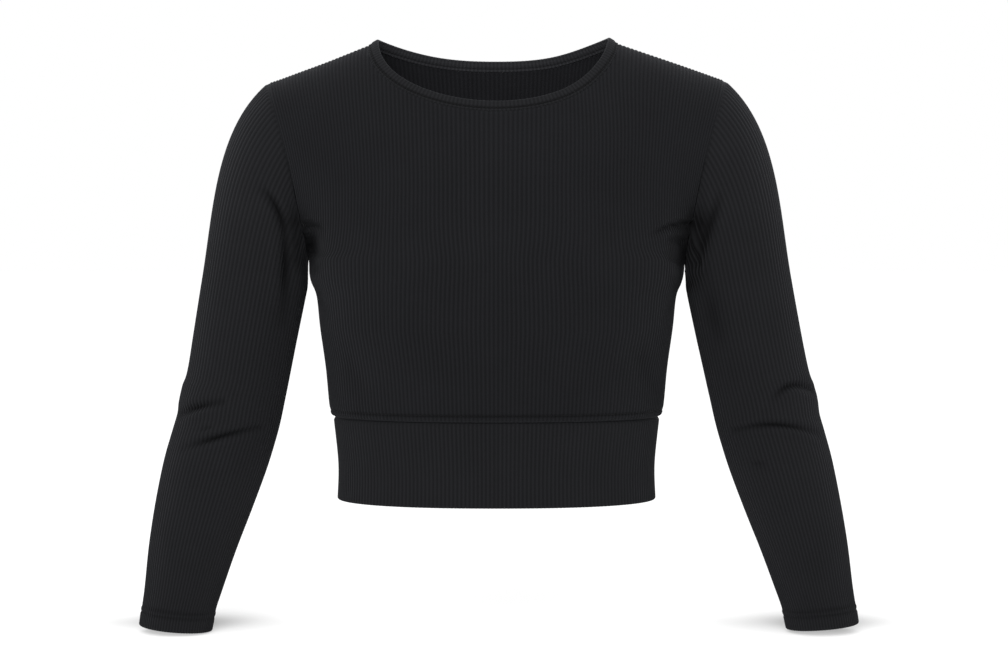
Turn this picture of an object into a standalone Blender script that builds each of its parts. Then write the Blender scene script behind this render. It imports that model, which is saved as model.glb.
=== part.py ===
"""Long-sleeved crop top in black rib knit, standing in its worn form with no wearer in it.

It has the six pieces that are cut and sewn: front, back, two sleeves, a neck binding and a doubled
waistband. Each is one closed cloth wall, ribbed outside and plain inside, and lies 0.3 mm from its
neighbours at the seams. One raised rib stands for two ribs of the knit, which is twice as fine.

Lengths are in millimetres, and each mesh is made in metres. X runs across the garment, its front faces
-Y, and +Z is up. The origin is midway between the two shoulder seams, at the inside of the cloth.
"""

import bmesh
import bpy
import numpy as np

MM = 0.001
SAMPLES = 241  # points along a curve before it is divided
STEP = 0.002  # small step along a form, for its direction
END_STEP = 0.3  # part of a table's row, for a form's direction where the table ends
NEAR = 1e-6

# Cloth
WALL = 1.6  # one layer of rib knit, between its ribs
DOUBLE_WALL = 2.8  # two layers: waistband, sleeve hems and neck binding
RIB_HEIGHT = 0.6
RIB_CLOSE = 2.2  # the ribs are lower where their columns are closer than this
RIB_FADE = (6.0, 30.0)  # the ribs lie flat this near an underarm, and stand at full height this far off
SEAM_GAP = 0.3
ARMHOLE_GAP = 0.36  # across the garment, as its seam leans

# Ribs round each piece, each one valley column and one crest column
PANEL_RIBS = 60
SLEEVE_RIBS = 40
BAND_RIBS = 110
TUBE_STEP = 5  # outside columns to each column inside a sleeve or the waistband
PANEL_INSIDE = (0, 10, 18, 24, 28, 30, 38, 47, 55, 60)  # columns inside a panel, from its centre line

# Neck and shoulders
NECK_HALF = 110.5  # from the centre line to the neck end of a shoulder seam
NECK_TOP = 17.0  # height of that end
NECK_DROP = {"front": 61.0, "back": 17.5}
NECK_FRACTION = 0.5  # share of a panel's columns that end on its neckline
NECK_SHARE = 0.5  # 0 spaces the ends of those columns by width, 1 by the neckline's length
NECK_LEAN = {"front": (0.5, 0.86), "back": (0.66, 0.75)}  # towards the neck, and up, at mid neckline
SHOULDER_HALF = 197.5  # from the centre line to a shoulder point
SHOULDER_Z = -14.0
RIDGE_TOP = 80.0  # where the shoulder line would meet the centre line, if the neck weren't cut out
RIDGE_RISE = 0.06  # slope of the cloth as it reaches the shoulder seam
RIDGE_TUCK = 0.12  # how far each column leans in towards the neck as it reaches the ridge
RIDGE_ROUND = (0.6, 1.25)  # how round the cloth goes over: nearly straight by the neck, full at the arm
ROUND_FROM = 60.0  # distance from the centre line where it starts to be rounder

# Body, from the waist seam up: the side seam to row 6, then the armhole's edge to row 9
SIDE_SEAM_Y = 3.0
UNDERARM_HALF = 163.5
UNDERARM_Z = -170.0
UNDERARM_ROW = 6
BODY_TOP_ROW = 9
PANEL_ROWS = 14  # the last five rise from row 9 to the neckline and shoulder seam
BODY_NAMES = "edge_x edge_z front_edge back_edge centre_z front back fullness"
BODY_TABLE = (
    (141.8, -304.4, 3.0, 3.0, -304.4, -98.0, 91.0, 2.30),  # waist seam
    (144.6, -296.0, 3.0, 3.0, -296.0, -101.5, 92.5, 2.30),  # fullness over the seam
    (147.8, -262.0, 3.0, 3.0, -262.0, -106.0, 93.0, 2.30),
    (152.4, -228.0, 3.0, 3.0, -228.0, -114.0, 97.0, 2.35),
    (155.4, -200.0, 3.0, 3.0, -200.0, -121.5, 103.0, 2.40),  # fullest at the front
    (160.6, -186.0, 3.0, 3.0, -184.0, -122.0, 106.0, 2.40),
    (UNDERARM_HALF, UNDERARM_Z, 3.0, 3.0, -168.0, -120.0, 107.5, 2.40),  # underarm
    (163.8, -162.7, -22.0, 29.0, -150.0, -116.0, 107.0, 2.40),
    (165.7, -142.1, -42.5, 51.0, -130.0, -110.5, 105.0, 2.40),
    (170.4, -112.2, -55.0, 63.0, -106.0, -103.5, 101.0, 2.40),
)

# Waistband
BAND_NAMES = "half_width z front back fullness"
BAND_TABLE = (
    (141.3, -304.7, -97.5, 90.5, 2.30),  # waist seam
    (137.2, -345.0, -93.0, 86.0, 2.30),  # narrowest
    (138.0, -375.0, -92.5, 85.5, 2.30),  # hem
)

# Sleeves: the cap's rows run from the armhole to the first ring, and a row for each ring follows
CAP_ROWS = 5
CAP_CROWD = 1.25  # above 1 these rows crowd towards the armhole, where the cap is roundest
CAP_START = {"top": (0.80, 0.0, -0.60), "side": (0.50, 0.25, -0.83), "under": (0.25, 0.0, -0.97)}
SLEEVE_NAMES = "inner_x inner_z outer_x outer_z half_depth mid_y wall"
SLEEVE_TABLE = (
    (165.8, -196.0, 256.0, -182.0, 47.5, 3.0, WALL),
    (181.8, -272.0, 268.8, -259.0, 44.8, 4.5, WALL),
    (185.5, -289.0, 274.6, -278.0, 44.5, 5.0, WALL),
    (188.0, -301.0, 277.6, -291.0, 44.5, 4.5, WALL),  # outermost at the elbow
    (190.5, -312.0, 279.2, -303.0, 44.5, 4.0, WALL),
    (194.6, -327.0, 283.2, -317.0, 44.5, 3.0, WALL),
    (202.4, -352.0, 290.2, -343.0, 44.0, 0.0, WALL),
    (215.0, -386.0, 297.2, -379.0, 40.8, -4.5, WALL),
    (228.6, -421.0, 302.6, -415.0, 36.8, -9.0, WALL),
    (240.4, -455.0, 307.2, -451.0, 32.5, -12.0, WALL),
    (245.6, -472.0, 309.8, -469.0, 30.5, -14.0, DOUBLE_WALL),  # stitching of the hem
    (249.3, -490.3, 312.2, -487.0, 29.5, -15.0, DOUBLE_WALL),  # wrist edge
)
FOREARM_SWING = 2.2  # how much farther out the left cuff hangs than the mean, and the right one less
ELBOW_Z = -240.0

# Neck binding
BINDING_WIDTH = 10.0
BINDING_PROUD = 0.5  # its face above the panel's
BINDING_LEAN_IN = 1.3  # inward for each unit up, at the neck ends of the shoulder seams

# The largest folds, drawn from the front as soft troughs; the back has similar ones
FOLD_FACE = 0.5  # a fold is at full depth where its cloth faces the front or back at least this squarely
FOLD_NAMES = "start_x start_z end_x end_z half_width depth"
BODY_FOLDS = (
    (-162.0, -145.0, -140.0, -141.0, 8.0, 3.0),  # from each armpit towards the bust
    (160.0, -156.0, 132.0, -146.0, 8.0, 3.0),
    (-158.0, -190.0, -141.0, -226.0, 8.0, 2.5),  # down each side under the armpit
    (157.0, -198.0, 139.0, -236.0, 8.0, 2.5),
)
RIGHT_SLEEVE_FOLDS = (
    (-202.0, -112.0, -178.0, -148.0, 8.0, 3.5),  # beside the armpit
    (-271.0, -303.0, -222.0, -290.0, 8.0, 3.0),  # above the elbow
    (-266.0, -328.0, -203.0, -309.0, 8.0, 4.0),  # below the elbow
)
LEFT_SLEEVE_FOLDS = (
    (190.0, -112.0, 178.0, -142.0, 8.0, 3.0),
    (236.0, -293.0, 270.0, -279.0, 8.0, 3.0),
    (205.0, -315.0, 272.0, -318.0, 8.0, 4.0),
)

# Finish
BLACK_KNIT = (0.014, 0.014, 0.016, 1.0)
DEEPER_KNIT = (0.012, 0.012, 0.013, 1.0)
KNIT_ROUGHNESS = 0.85


def columns(names, rows):
    """A table's columns by name."""
    return dict(zip(names.split(), np.array(rows, float).T))


def unit(vectors):
    """Vectors scaled to length 1 along the last axis."""
    return vectors / np.maximum(np.linalg.norm(vectors, axis=-1, keepdims=True), NEAR)


def through(values, level):
    """A smooth curve through a table column's values, read at a fractional row."""
    row = int(np.clip(np.floor(level), 0, len(values) - 2))
    before, here, after, beyond = values[np.clip([row - 1, row, row + 1, row + 2], 0, len(values) - 1)]
    t = level - row
    slope_here = (after - before) / 2
    slope_after = (beyond - here) / 2
    return (
        here * (2 * t**3 - 3 * t**2 + 1)
        + slope_here * (t**3 - 2 * t**2 + t)
        + after * (3 * t**2 - 2 * t**3)
        + slope_after * (t**3 - t**2)
    )


def table_row(table, level):
    """Every column of a table at a fractional row."""
    return {name: through(values, level) for name, values in table.items()}


def bridge(start, start_slope, end, end_slope, t):
    """A smooth curve from start to end with a given direction at each end."""
    return (
        start * (2 * t**3 - 3 * t**2 + 1)
        + start_slope * (t**3 - 2 * t**2 + t)
        + end * (3 * t**2 - 2 * t**3)
        + end_slope * (t**3 - t**2)
    )


def path_length(points):
    """Distance along a path to each of its points."""
    return np.concatenate([[0], np.cumsum(np.linalg.norm(np.diff(points, axis=0), axis=1))])


def half_section(edge, centre, fullness, fractions):
    """Half of a section, equally spaced round its curve from the centre line (0) to its edge (1)."""
    edge_x, edge_y, edge_z = edge
    centre_y, centre_z = centre
    reach = SIDE_SEAM_Y - centre_y
    edge_angle = np.arccos(np.clip((SIDE_SEAM_Y - edge_y) / reach, 0, 1) ** (fullness / 2))
    width = edge_x / np.sin(edge_angle) ** (2 / fullness)
    angle = np.linspace(0, 1, SAMPLES) * edge_angle
    x = width * np.sin(angle) ** (2 / fullness)
    y = SIDE_SEAM_Y - reach * np.cos(angle) ** (2 / fullness)
    z = centre_z + (edge_z - centre_z) * (x / edge_x) ** 2
    curve = np.column_stack([x, y, z])
    length = path_length(curve)
    return np.column_stack([np.interp(fractions * length[-1], length, c) for c in curve.T])


def body_section(side, level, fractions):
    """The front's or back's half section at a row of the body table, from the centre line to its edge."""
    row = table_row(BODY, level)
    edge = (row["edge_x"], row[side + "_edge"], row["edge_z"])
    centre = (row[side], row["centre_z"])
    return half_section(edge, centre, row["fullness"], fractions)


def ridge(fractions):
    """The shoulder line from the centre line, over the cut-out neck, to the shoulder point."""
    bend = (NECK_HALF - SHOULDER_HALF * NECK_FRACTION) / (NECK_FRACTION - NECK_FRACTION**2)
    x = (SHOULDER_HALF + bend) * fractions - bend * fractions**2
    slope = (SHOULDER_Z - NECK_TOP) / (SHOULDER_HALF - NECK_HALF)
    over_neck = bridge(RIDGE_TOP, 0, NECK_TOP, slope * NECK_HALF, x / NECK_HALF)
    z = np.where(x < NECK_HALF, over_neck, NECK_TOP + slope * (x - NECK_HALF))
    return np.column_stack([x, np.zeros(len(x)), z])


def yoke(side, t, fractions):
    """Above the body's rows each column rises from t = 0, leans over and meets the ridge at t = 1."""
    towards = -1 if side == "front" else 1
    base = body_section(side, BODY_TOP_ROW, fractions)
    rise = unit(base - body_section(side, BODY_TOP_ROW - END_STEP, fractions))
    end = ridge(fractions)
    inner = 1 - np.minimum(end[:, :1] / NECK_HALF, 1)
    flat = (1 - inner**2) ** 2
    lean, up = NECK_LEAN[side]
    arrive = unit((1 - flat) * [0, -towards * lean, up] + flat * [0, -towards, RIDGE_RISE])
    arrive[:, 0] = -RIDGE_TUCK * np.sin(np.pi * end[:, 0] / SHOULDER_HALF)
    out = np.clip((end[:, :1] - ROUND_FROM) / (SHOULDER_HALF - ROUND_FROM), 0, 1)
    fullness = RIDGE_ROUND[0] + (RIDGE_ROUND[1] - RIDGE_ROUND[0]) * (3 * out**2 - 2 * out**3)
    length = np.linalg.norm(end - base, axis=1)[:, None] * fullness
    return bridge(base, rise * length, end, arrive * length, np.reshape(t, (-1, 1)))


def neck_cut(side, fractions):
    """How far up the yoke each column ends: at the neckline's curve, or at the shoulder seam."""
    cut = np.ones(len(fractions))
    steps = np.linspace(0, 1, SAMPLES)
    for i in np.flatnonzero(fractions < NECK_FRACTION - NEAR):
        column = yoke(side, steps, np.full(len(steps), fractions[i]))
        open_width = np.sqrt(np.maximum(1 - (column[:, 0] / NECK_HALF) ** 2, 0))
        above = column[:, 2] - (NECK_TOP - NECK_DROP[side] * open_width)
        first = np.argmax(above > 0)
        cut[i] = np.interp(0, above[first - 1 : first + 1], steps[first - 1 : first + 1])
    return cut


def neck_spread(side):
    """Where a half panel's columns meet the neckline: their share of it, and the fractions they sit at."""
    fractions = NECK_FRACTION * (1 - np.linspace(1, 0, SAMPLES) ** 3)
    curve = yoke(side, neck_cut(side, fractions), fractions)
    length = path_length(curve)
    share = (1 - NECK_SHARE) * fractions / NECK_FRACTION + NECK_SHARE * length / length[-1]
    return share, fractions


def body_row(side, level, fractions):
    """Points of a half panel at a level: one level, or one for each column above the body's rows."""
    if np.max(level) <= BODY_TOP_ROW:
        return body_section(side, level, fractions)
    return yoke(side, np.maximum(level - BODY_TOP_ROW, 0), fractions)


def panel_form(side, levels, fractions):
    """Points and wall directions of a panel: a row for each level, from its right edge (-1) to its left (1).

    The last level is the neckline and the shoulder seams, and the levels below it close up to fit.
    """
    near = np.abs(fractions)
    at_neck = np.interp(near / NECK_FRACTION, *neck_spread(side))
    at_top = np.where(near < NECK_FRACTION, at_neck, near)
    mirror = np.column_stack([np.where(fractions < 0, -1, 1), np.ones((len(near), 2))])
    points, normals = [], []
    for level in levels:
        up = max(level - BODY_TOP_ROW, 0) / (PANEL_ROWS - BODY_TOP_ROW)
        across = near + (at_top - near) * up
        if up > 0:
            level = BODY_TOP_ROW + up * neck_cut(side, across)
        point = body_row(side, level, across)
        inward = np.maximum(across, STEP)
        sideways = body_row(side, level, inward) - body_row(side, level, inward - STEP)
        upward = body_row(side, level, across) - body_row(side, level - STEP, across)
        normal = unit(np.cross(sideways, upward))
        points.append(point * mirror)
        normals.append(normal * mirror * (1 if side == "front" else -1))
    return np.array(points), np.array(normals)


def armhole_loop(front, back, hand):
    """The armhole, from the underarm up the front to the shoulder point and down the back."""
    edge = -1 if hand > 0 else 0
    up = front[UNDERARM_ROW:, edge]
    down = back[UNDERARM_ROW:, edge][::-1]
    return np.concatenate([up, down[1:]])


def sleeve_ring(level, turns, hand):
    """One ring of the arm at a row of the sleeve table. Turn 0 is inside the arm and 0.25 is its front."""
    row = table_row(SLEEVE, level)
    inner = np.array([row["inner_x"], row["mid_y"], row["inner_z"]])
    outer = np.array([row["outer_x"], row["mid_y"], row["outer_z"]])
    angle = 2 * np.pi * turns[:, None]
    depth = np.array([0, row["half_depth"], 0])
    ring = (inner + outer) / 2 - np.cos(angle) * (outer - inner) / 2 - np.sin(angle) * depth
    below_elbow = np.clip((ELBOW_Z - ring[:, 2]) / (ELBOW_Z - SLEEVE["inner_z"][-1]), 0, 1)
    ring[:, 0] = hand * ring[:, 0] + FOREARM_SWING * below_elbow
    return ring


def sleeve_form(hand, levels, turns, armhole):
    """Grid of points of a sleeve: cap rows from the armhole, then the arm's rings to the wrist."""
    angle = 2 * np.pi * turns[:, None]
    high = (1 - np.cos(angle)) / 2
    sideways = np.sin(angle)
    top, side, under = (np.array(CAP_START[k]) for k in ("top", "side", "under"))
    leave = under + (top - under) * high + (side * [1, 0, 1] - (top + under) / 2) * np.abs(sideways)
    leave = unit((leave - sideways * side * [0, 1, 0]) * [hand, 1, 1])
    first = sleeve_ring(0, turns, hand)
    arrive = unit(sleeve_ring(END_STEP, turns, hand) - first)
    length = np.linalg.norm(first - armhole, axis=1)[:, None]
    rows = []
    for level in levels:
        if level < CAP_ROWS:
            down = (level / CAP_ROWS) ** CAP_CROWD
            rows.append(bridge(armhole, leave * length, first, arrive * length, down))
        else:
            rows.append(sleeve_ring(level - CAP_ROWS, turns, hand))
    return np.array(rows)


def tube_normals(grid):
    """Wall directions of a tube's grid of points, outward from its rings' middles."""
    across = np.roll(grid, -1, axis=1) - np.roll(grid, 1, axis=1)
    normals = unit(np.cross(across, np.gradient(grid, axis=0)))
    return normals * np.sign(np.sum(normals * (grid - grid.mean(axis=1, keepdims=True))))


def folded(grid, normals, rows, facing):
    """The grid with soft troughs pressed in along its normals, on the side that faces front or back."""
    fold = columns(FOLD_NAMES, rows)
    depth = np.zeros(grid.shape[:2])
    for i in range(len(rows)):
        start = np.array([fold["start_x"][i], fold["start_z"][i]])
        run = np.array([fold["end_x"][i], fold["end_z"][i]]) - start
        place = grid[..., [0, 2]] - start
        along = np.clip(place @ run / (run @ run), 0, 1)[..., None]
        distance = np.linalg.norm(place - along * run, axis=-1)
        depth += fold["depth"][i] * np.exp(-((distance / fold["half_width"][i]) ** 2))
    faces = np.clip(facing * normals[..., 1] / FOLD_FACE, 0, 1)
    return grid - normals * (depth * faces)[..., None]


def joined(own, other):
    """Wall direction at a seam: shared where the pieces meet edge to edge, each one's own in a tight fold."""
    agree = np.maximum(np.sum(own * other, axis=-1, keepdims=True), 0)
    return unit(own + agree * other)


def ribbed(grid, normals):
    """Every second column raised along the normals, less so where columns crowd or beside an underarm."""
    spacing = np.linalg.norm(np.gradient(grid, axis=1), axis=-1)
    crest = np.arange(grid.shape[1]) % 2 * RIB_HEIGHT * np.minimum(spacing / RIB_CLOSE, 1)
    underarm = np.array([UNDERARM_HALF, SIDE_SEAM_Y, UNDERARM_Z])
    away = np.linalg.norm(np.abs(grid * [1, 0, 0]) + grid * [0, 1, 1] - underarm, axis=-1)
    start, full = RIB_FADE
    return grid + normals * (crest * np.clip((away - start) / (full - start), 0, 1))[..., None]


def knit(name, colour):
    """The cloth's material for one piece."""
    material = bpy.data.materials.new(name + "_knit")
    material.use_nodes = True
    shader = material.node_tree.nodes["Principled BSDF"]
    shader.inputs["Base Color"].default_value = colour
    shader.inputs["Roughness"].default_value = KNIT_ROUGHNESS
    shader.inputs["Metallic"].default_value = 0.0
    return material


def strip(form, lower, upper):
    """Faces between two rows of vertices, each a dict by column, that share their first and last columns."""
    low, high = sorted(lower), sorted(upper)
    i = j = 0
    while (i, j) != (len(low) - 1, len(high) - 1):
        low_middle = sum(low[i : i + 2]) if i < len(low) - 1 else np.inf
        high_middle = sum(high[j : j + 2]) if j < len(high) - 1 else np.inf
        step_low, step_high = low_middle <= high_middle, high_middle <= low_middle
        corners = [lower[low[i]]]
        corners += [lower[low[i + 1]]] if step_low else []
        corners += [upper[high[j + 1]]] if step_high else []
        form.faces.new([*corners, upper[high[j]]])
        i, j = i + step_low, j + step_high


def make_piece(name, colour, outside, inside, kept, wraps):
    """One closed wall between a grid outside and, inside, the columns kept of each row of a grid like it."""
    form = bmesh.new()
    rows = [{c: form.verts.new(point) for c, point in enumerate(row)} for row in outside * MM]
    for row, columns_kept in zip(inside[::-1] * MM, kept[::-1]):
        rows.append({c: form.verts.new(row[c]) for c in columns_kept})
    if wraps:
        for row in rows:
            row[outside.shape[1]] = row[0]
    for lower, upper in zip(rows, rows[1:] + rows[:1]):
        strip(form, lower, upper)
    if not wraps:
        out, ins = rows[: len(outside)], rows[len(outside) :][::-1]
        for c in (0, outside.shape[1] - 1):
            for r in range(len(out) - 1):
                form.faces.new([out[r][c], out[r + 1][c], ins[r + 1][c], ins[r][c]])
    bmesh.ops.recalc_face_normals(form, faces=form.faces)
    mesh = bpy.data.meshes.new(name)
    form.to_mesh(mesh)
    form.free()
    mesh.materials.append(knit(name, colour))
    bpy.context.collection.objects.link(bpy.data.objects.new(name, mesh))


def set_seams(normals, sleeve_normals, binding_normals):
    """Gives pieces that meet at a seam wall directions that agree there."""
    front, back = normals["front"], normals["back"]
    for seam in [(slice(0, UNDERARM_ROW + 1), 0), (slice(0, UNDERARM_ROW + 1), -1), (-1, ON_SHOULDER)]:
        front[seam], back[seam] = joined(front[seam], back[seam]), joined(back[seam], front[seam])
    for hand, sleeve in sleeve_normals.items():
        edge = -1 if hand > 0 else 0
        body = armhole_loop(front, back, hand)
        arm = sleeve[0, TUBE_STEP * np.arange(len(body)) % sleeve.shape[1]]
        body, arm = joined(body, arm), joined(arm, body)
        shoulder = PANEL_ROWS - UNDERARM_ROW
        front[UNDERARM_ROW:, edge] = body[: shoulder + 1]
        back[UNDERARM_ROW:, edge] = body[shoulder:][::-1]
        sleeve[0, ::TUBE_STEP] = arm[:-1]
    left_end = 2 * NECK_END
    front[-1, NECK_COLUMNS] = binding_normals[: left_end + 1]
    back[-1, NECK_COLUMNS] = np.concatenate([binding_normals[left_end:], binding_normals[:1]])[::-1]


def open_seams(panels, sleeves):
    """Moves the pieces' edges apart by the seam gap."""
    for side, towards in (("front", -1), ("back", 1)):
        panel = panels[side]
        panel[: UNDERARM_ROW + 1, [0, -1], 1] += towards * SEAM_GAP / 2
        panel[-1, ON_SHOULDER, 1] += towards * SEAM_GAP / 2
        panel[UNDERARM_ROW:, 0, 0] += ARMHOLE_GAP / 2
        panel[UNDERARM_ROW:, -1, 0] -= ARMHOLE_GAP / 2
    for hand, sleeve in sleeves.items():
        sleeve[0, :, 0] += hand * ARMHOLE_GAP / 2


def band_form(levels):
    """Rings of the waistband, from the centre front round by the left side, the back and the right side."""
    quarter = np.linspace(0, 1, BAND_RIBS // 2 + 1)
    rings = []
    for level in levels:
        row = table_row(BAND, level)
        edge = (row["half_width"], SIDE_SEAM_Y, row["z"])
        front, back = (
            half_section(edge, (row[side], row["z"]), row["fullness"], quarter) for side in ("front", "back")
        )
        mirror = np.array([-1, 1, 1])
        rings.append(np.concatenate([front, back[-2::-1], back[1:] * mirror, front[-2:0:-1] * mirror]))
    return np.array(rings)


def neck_loop(panels):
    """The neck opening's edge: the front's from right to left, then the back's from left to right."""
    front, back = (panels[side][-1, NECK_COLUMNS] for side in ("front", "back"))
    return np.concatenate([front, back[-2:0:-1]])


def neck_frame(edge):
    """At each point of the neck edge, the way that the binding rises from it, and the way that it faces."""
    along = unit(np.roll(edge, -1, axis=0) - np.roll(edge, 1, axis=0))
    x, y = edge[:, 0], edge[:, 1]
    front, back = (NECK_LEAN[side][0] / NECK_LEAN[side][1] for side in ("front", "back"))
    lean = np.where(y < 0, front * y / y.min(), -back * y / y.max())
    rise = np.column_stack([-BINDING_LEAN_IN * x / NECK_HALF, lean, np.ones(len(edge))])
    rise = unit(rise - along * np.sum(rise * along, axis=1, keepdims=True))
    facing = np.cross(along, rise)
    return rise, facing * np.sign(np.sum(facing * edge))


def main():
    for old in list(bpy.data.objects):
        bpy.data.objects.remove(old, do_unlink=True)

    fractions = np.linspace(-1, 1, 2 * PANEL_RIBS + 1)
    panels, normals = {}, {}
    for side, towards in (("front", -1), ("back", 1)):
        form, normals[side] = panel_form(side, np.arange(PANEL_ROWS + 1), fractions)
        panels[side] = folded(form, normals[side], BODY_FOLDS, towards)

    turns = np.arange(2 * SLEEVE_RIBS) / (2 * SLEEVE_RIBS)
    sleeve_levels = np.arange(CAP_ROWS + len(SLEEVE_TABLE))
    sleeves, sleeve_normals = {}, {}
    for hand, folds in ((-1, RIGHT_SLEEVE_FOLDS), (1, LEFT_SLEEVE_FOLDS)):
        loop = armhole_loop(panels["front"], panels["back"], hand)
        place = turns * (len(loop) - 1)
        armhole = np.column_stack([np.interp(place, np.arange(len(loop)), c) for c in loop.T])
        form = sleeve_form(hand, sleeve_levels, turns, armhole)
        sleeve_normals[hand] = tube_normals(form)
        sleeves[hand] = form.copy()
        for towards in (-1, 1):
            sleeves[hand][1:] = folded(sleeves[hand], sleeve_normals[hand], folds, towards)[1:]

    neck_edge = neck_loop(panels)
    rise, facing = neck_frame(neck_edge)
    set_seams(normals, sleeve_normals, facing)
    open_seams(panels, sleeves)

    sparse = sorted({PANEL_RIBS + sign * c for c in PANEL_INSIDE for sign in (-1, 1)})
    kept = [sparse] * PANEL_ROWS + [range(2 * PANEL_RIBS + 1)]
    for side in ("front", "back"):
        inside = panels[side] - normals[side] * WALL
        make_piece(side, BLACK_KNIT, ribbed(panels[side], normals[side]), inside, kept, wraps=False)

    kept = [range(0, 2 * SLEEVE_RIBS, TUBE_STEP)] * len(sleeve_levels)
    wall = np.concatenate([np.full(CAP_ROWS, WALL), SLEEVE["wall"]])[:, None, None]
    for hand, name in ((-1, "right_sleeve"), (1, "left_sleeve")):
        inside = sleeves[hand] - sleeve_normals[hand] * wall
        outside = ribbed(sleeves[hand], sleeve_normals[hand])
        outside[0] = sleeves[hand][0]
        make_piece(name, BLACK_KNIT, outside, inside, kept, wraps=True)

    kept = [range(0, 2 * BAND_RIBS, TUBE_STEP)] * len(BAND_TABLE)
    band = band_form(np.arange(len(BAND_TABLE)))
    band_normals = tube_normals(band)
    inside = band - band_normals * DOUBLE_WALL
    make_piece("waistband", DEEPER_KNIT, ribbed(band, band_normals), inside, kept, wraps=True)

    binding = np.array([neck_edge + rise * w + facing * BINDING_PROUD for w in (SEAM_GAP, BINDING_WIDTH)])
    kept = [range(len(neck_edge))] * len(binding)
    make_piece("neck_binding", DEEPER_KNIT, binding, binding - facing * DOUBLE_WALL, kept, wraps=True)


BODY = columns(BODY_NAMES, BODY_TABLE)
BAND = columns(BAND_NAMES, BAND_TABLE)
SLEEVE = columns(SLEEVE_NAMES, SLEEVE_TABLE)
NECK_END = int(NECK_FRACTION * PANEL_RIBS)
NECK_COLUMNS = slice(PANEL_RIBS - NECK_END, PANEL_RIBS + NECK_END + 1)
ON_SHOULDER = np.abs(np.arange(-PANEL_RIBS, PANEL_RIBS + 1)) >= NECK_END

main()
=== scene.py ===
"""Looks for a long-sleeved crop top in black rib knit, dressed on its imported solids.

Each cloth piece is a closed wall on its solid's own form, with every rib of the knit raised in it, worked
out from the same tables of sections. Lengths are in millimetres, and each mesh is made in metres.
X runs across the garment, its front faces -Y, and +Z is up.
"""

import bpy
import numpy as np
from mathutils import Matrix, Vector


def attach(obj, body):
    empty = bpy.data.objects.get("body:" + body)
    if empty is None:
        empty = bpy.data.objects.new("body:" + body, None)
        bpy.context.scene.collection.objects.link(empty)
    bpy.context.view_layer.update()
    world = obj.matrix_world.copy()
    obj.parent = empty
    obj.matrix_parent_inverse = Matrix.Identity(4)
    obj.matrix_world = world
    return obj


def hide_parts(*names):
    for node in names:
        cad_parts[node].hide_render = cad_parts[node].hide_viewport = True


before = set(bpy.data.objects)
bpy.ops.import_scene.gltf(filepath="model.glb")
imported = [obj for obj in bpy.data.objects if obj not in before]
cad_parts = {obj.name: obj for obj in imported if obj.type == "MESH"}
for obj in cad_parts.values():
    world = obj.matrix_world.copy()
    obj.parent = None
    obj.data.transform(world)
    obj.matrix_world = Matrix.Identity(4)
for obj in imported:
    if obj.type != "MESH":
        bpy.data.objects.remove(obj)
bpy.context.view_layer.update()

MM = 0.001
SAMPLES = 241  # points along a curve before it is divided
END_STEP = 0.3  # rows of a table over which the cloth's direction at its end is taken
NEAR = 1e-6
MIRROR = np.array([-1, 1, 1])

# Cloth
WALL = 1.5
DOUBLE_WALL = 2.8
SEAM_GAP = 0.03
SEAM_DEPTH = 0.35  # how far the cloth turns in at a seam
WAIST_DEPTH = 1.1  # and at the waist seam
SEAM_REACH = 1.7  # how far from the seam it turns
BODY_MIDDLE = (0.0, 0.0, -200.0)

# Ribs
RIB_HEIGHT = 0.62
RIB_POWER = 0.8  # under 1, so that crests are broader than valleys
RIB_FADE = (3.0, 16.0)  # how far from an underarm the ribs begin, and where they have their whole height
RIB_STITCHED = 0.5  # how much of its height a rib loses under a line of stitching
PANEL_RIBS = 59  # to each side of a panel's centre line
SLEEVE_RIBS = 79
BAND_RIBS = 222
ACROSS_RIB = 6  # mesh columns to a rib outside
INSIDE_RIB = 2  # and inside
INSIDE_DIP = 0.4  # how far the inside sinks behind each outer rib
END_LEVELS = (0.02, 0.05, 0.1, 0.18, 0.3)  # extra mesh rows beside a piece's ends

# Neck and shoulders
NECK_HALF = 110.5
NECK_TOP = 17.0
NECK_DROP = {"front": 61.0, "back": 18.9}
NECK_CURVE = {"front": (2.0, 0.5), "back": (2.4, 1.0)}  # two powers, which make an ellipse at 2 and 0.5
NECK_FRACTION = 0.5  # share of a half panel's ribs that end at the neckline
NECK_LEAN = {"front": (0.5, 0.86), "back": (0.66, 0.75)}  # in and up, at the neckline's middle
SHOULDER_HALF = 197.5
SHOULDER_Z = -14.0
RIDGE_TOP = 80.0  # height of the shoulder line's curve over the cut-out neck
RIDGE_RISE = 0.06  # how steeply the cloth reaches the shoulder seam
RIDGE_TUCK = 0.12  # and how much it leans there towards the neck
RIDGE_ROUND = (0.6, 1.25)  # how full the shoulder is near the neck and at its point
ROUND_FROM = 60.0  # x from which it grows fuller

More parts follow.
